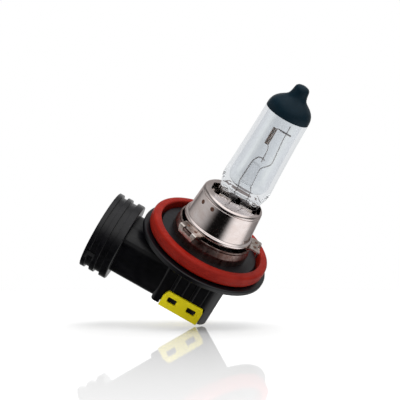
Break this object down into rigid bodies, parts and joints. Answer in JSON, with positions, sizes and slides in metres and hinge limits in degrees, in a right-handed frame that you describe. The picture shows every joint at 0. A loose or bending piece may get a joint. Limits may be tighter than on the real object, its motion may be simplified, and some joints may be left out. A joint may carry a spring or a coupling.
{
  "type": "headlight bulb",
  "caption": "Halogen headlight bulb with a black-tipped glass envelope in a steel shell, three locating lugs, a red seal ring and a black right-angle base with a ribbed round connector.",
  "frame": {"origin": "centre of the reference plane, which is the top of the three locating lugs, on the lamp axis", "axes": "+Z along the lamp axis to the tip of the glass, -X the way the connector points, +Y to the back of the base; metres"},
  "size_m": [0.0398, 0.0316, 0.0638],
  "materials": {
    "clear_glass": "clear, polished",
    "black_coat": "heat-proof paint, satin gloss",
    "tungsten": "dull dark grey",
    "lead_wire": "drawn, satin",
    "quartz": "clear",
    "foil": "thin rolled foil",
    "shell_steel": "drawn and polished, warm tint",
    "ring_steel": "stamped, satin",
    "black_plastic": "moulded, fine texture",
    "red_rubber": "moulded silicone, semi-matt",
    "yellow_plastic": "moulded, semi-matt",
    "terminal_brass": "tinned brass"
  },
  "bodies": {
    "lamp": {"glass_envelope": "clear_glass", "black_top_coat": "black_coat", "filament": "tungsten", "upper_clamp_bar": "lead_wire", "lower_clamp_bar": "lead_wire", "long_support_wire": "lead_wire", "short_support_wire": "lead_wire", "quartz_bridge": "quartz", "foil_front": "foil", "foil_back": "foil", "outer_lead_front": "lead_wire", "outer_lead_back": "lead_wire", "blade_terminal_front": "terminal_brass", "blade_terminal_back": "terminal_brass", "pinch_holder": "ring_steel", "metal_shell": "shell_steel", "locating_ring": "ring_steel", "ring_skirt": "ring_steel", "base_body": "black_plastic", "bottom_cover": "yellow_plastic"},
    "seal": {"seal_ring": "red_rubber"}
  },
  "joints": [
    {"name": "seal_ring_slide", "type": "slide", "parent": "lamp", "child": "seal", "axis": [0, 0, 1], "range_m": [0, 0.05]}
  ]
}
